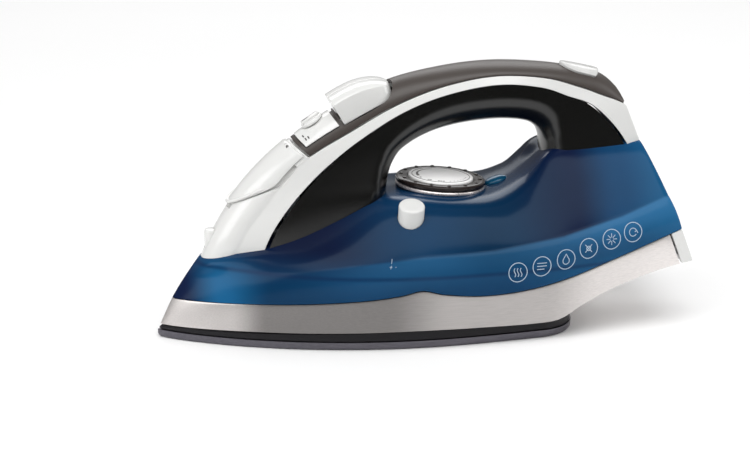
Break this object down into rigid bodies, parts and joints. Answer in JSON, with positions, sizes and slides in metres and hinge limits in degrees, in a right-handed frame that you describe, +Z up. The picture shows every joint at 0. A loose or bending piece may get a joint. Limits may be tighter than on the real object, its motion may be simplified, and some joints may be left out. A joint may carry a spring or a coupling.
{
  "type": "clothes iron",
  "caption": "Steam iron with a boat-shaped body: flat soleplate, silver skirt, blue water tank, dial under a bridge handle, pump buttons, steam lever and filler door.",
  "frame": {"origin": "on the ironing face, under the middle of the iron's length and width", "axes": "+X from the nose towards the heel, +Y across, to the right of someone who stands at the heel and looks at the nose, +Z up"},
  "size_m": [0.298, 0.1198, 0.1486],
  "materials": {
    "sole_coating": "satin non-stick coating over cast aluminium",
    "cast_aluminium": "as cast",
    "brushed_silver": "brushed",
    "steel": "plain",
    "chrome": "polished",
    "white_plastic": "gloss",
    "milky_plastic": "translucent moulding",
    "tank_blue": "clear tinted, polished",
    "gloss_black": "high gloss",
    "grip_grey": "satin",
    "heat_black": "matt, heat resistant",
    "dial_dark": "satin",
    "dial_pale": "satin, printed",
    "pump_grey": "moulded",
    "rubber": "matt",
    "lead_insulation": "silicone sleeve",
    "lens_blue": "clear tinted",
    "lamp_glass": "clear"
  },
  "bodies": {
    "iron": {"soleplate": "sole_coating", "heater_casting": "cast_aluminium", "heating_element": "steel", "chamber_gasket": "rubber", "steam_chamber_cover": "steel", "heat_shield": "heat_black", "shield_screw_left": "steel", "shield_screw_right": "steel", "thermostat": "steel", "thermal_fuse": "steel", "lower_skirt": "brushed_silver", "heel_rest": "white_plastic", "rear_cover": "heat_black", "rear_screw_left": "steel", "rear_screw_right": "steel", "tank_shell": "tank_blue", "tank_tub": "milky_plastic", "tank_bulkhead": "milky_plastic", "valve_seat": "milky_plastic", "dial_trim": "chrome", "spindle_tube": "milky_plastic", "handle_frame": "white_plastic", "handle_shell": "gloss_black", "grip_cover": "grip_grey", "handle_end_cap": "white_plastic", "fill_door_pin": "steel", "fill_funnel": "milky_plastic", "spray_pump_barrel": "pump_grey", "shot_pump_barrel": "pump_grey", "spray_spring": "steel", "shot_spring": "steel", "spray_tube": "milky_plastic", "shot_tube": "milky_plastic", "spray_nozzle": "white_plastic", "steam_control_plate": "white_plastic", "pilot_lens": "lens_blue", "pilot_lamp": "lamp_glass", "shutoff_lens": "white_plastic", "self_clean_well": "pump_grey", "self_clean_spring": "steel", "cord_gland": "rubber", "cord_clamp": "pump_grey", "terminal_block": "pump_grey", "lead_live": "lead_insulation", "lead_neutral": "lead_insulation"},
    "dial": {"dial_ring": "dial_dark", "dial_cap": "dial_pale", "dial_spindle": "steel"},
    "steam_lever": {"steam_control_lever": "white_plastic"},
    "valve": {"valve_rod": "pump_grey"},
    "spray_key": {"spray_button": "white_plastic", "spray_plunger": "pump_grey"},
    "shot_key": {"shot_button": "white_plastic", "shot_plunger": "pump_grey"},
    "filler_door": {"fill_door": "white_plastic"},
    "clean_key": {"self_clean_button": "white_plastic"}
  },
  "joints": [
    {"name": "dial_turn", "type": "hinge", "parent": "iron", "child": "dial", "pos_m": [0.0123, 0, 0.078], "axis": [0.0767, 0, 0.9971], "range_deg": [-135, 135]},
    {"name": "steam_lever_swing", "type": "hinge", "parent": "iron", "child": "steam_lever", "pos_m": [-0.06044, 0, 0.11921], "axis": [-0.5441, 0, 0.839], "range_deg": [-35, 35]},
    {"name": "valve_rod_slide", "type": "slide", "parent": "iron", "child": "valve", "axis": [0, 0, 1], "range_m": [-0.00122, 0.00122]},
    {"name": "spray_button_press", "type": "slide", "parent": "iron", "child": "spray_key", "axis": [0.4433, 0, -0.8964], "range_m": [0, 0.0032], "stiffness_N_per_m": 2000, "springref_m": -0.001, "deforming": ["spray_spring"]},
    {"name": "shot_button_press", "type": "slide", "parent": "iron", "child": "shot_key", "axis": [0.4433, 0, -0.8964], "range_m": [0, 0.0032], "stiffness_N_per_m": 2000, "springref_m": -0.001, "deforming": ["shot_spring"]},
    {"name": "fill_door_open", "type": "hinge", "parent": "iron", "child": "filler_door", "pos_m": [-0.07544, 0, 0.10708], "axis": [0, 1, 0], "range_deg": [0, 78]},
    {"name": "self_clean_press", "type": "slide", "parent": "iron", "child": "clean_key", "axis": [0, 0.3256, -0.9455], "range_m": [0, 0.003], "stiffness_N_per_m": 1200, "springref_m": -0.001, "deforming": ["self_clean_spring"]}
  ],
  "couplings": [
    {"joint": "steam_lever_swing", "follows": "valve_rod_slide", "rad_per_m": 500}
  ]
}
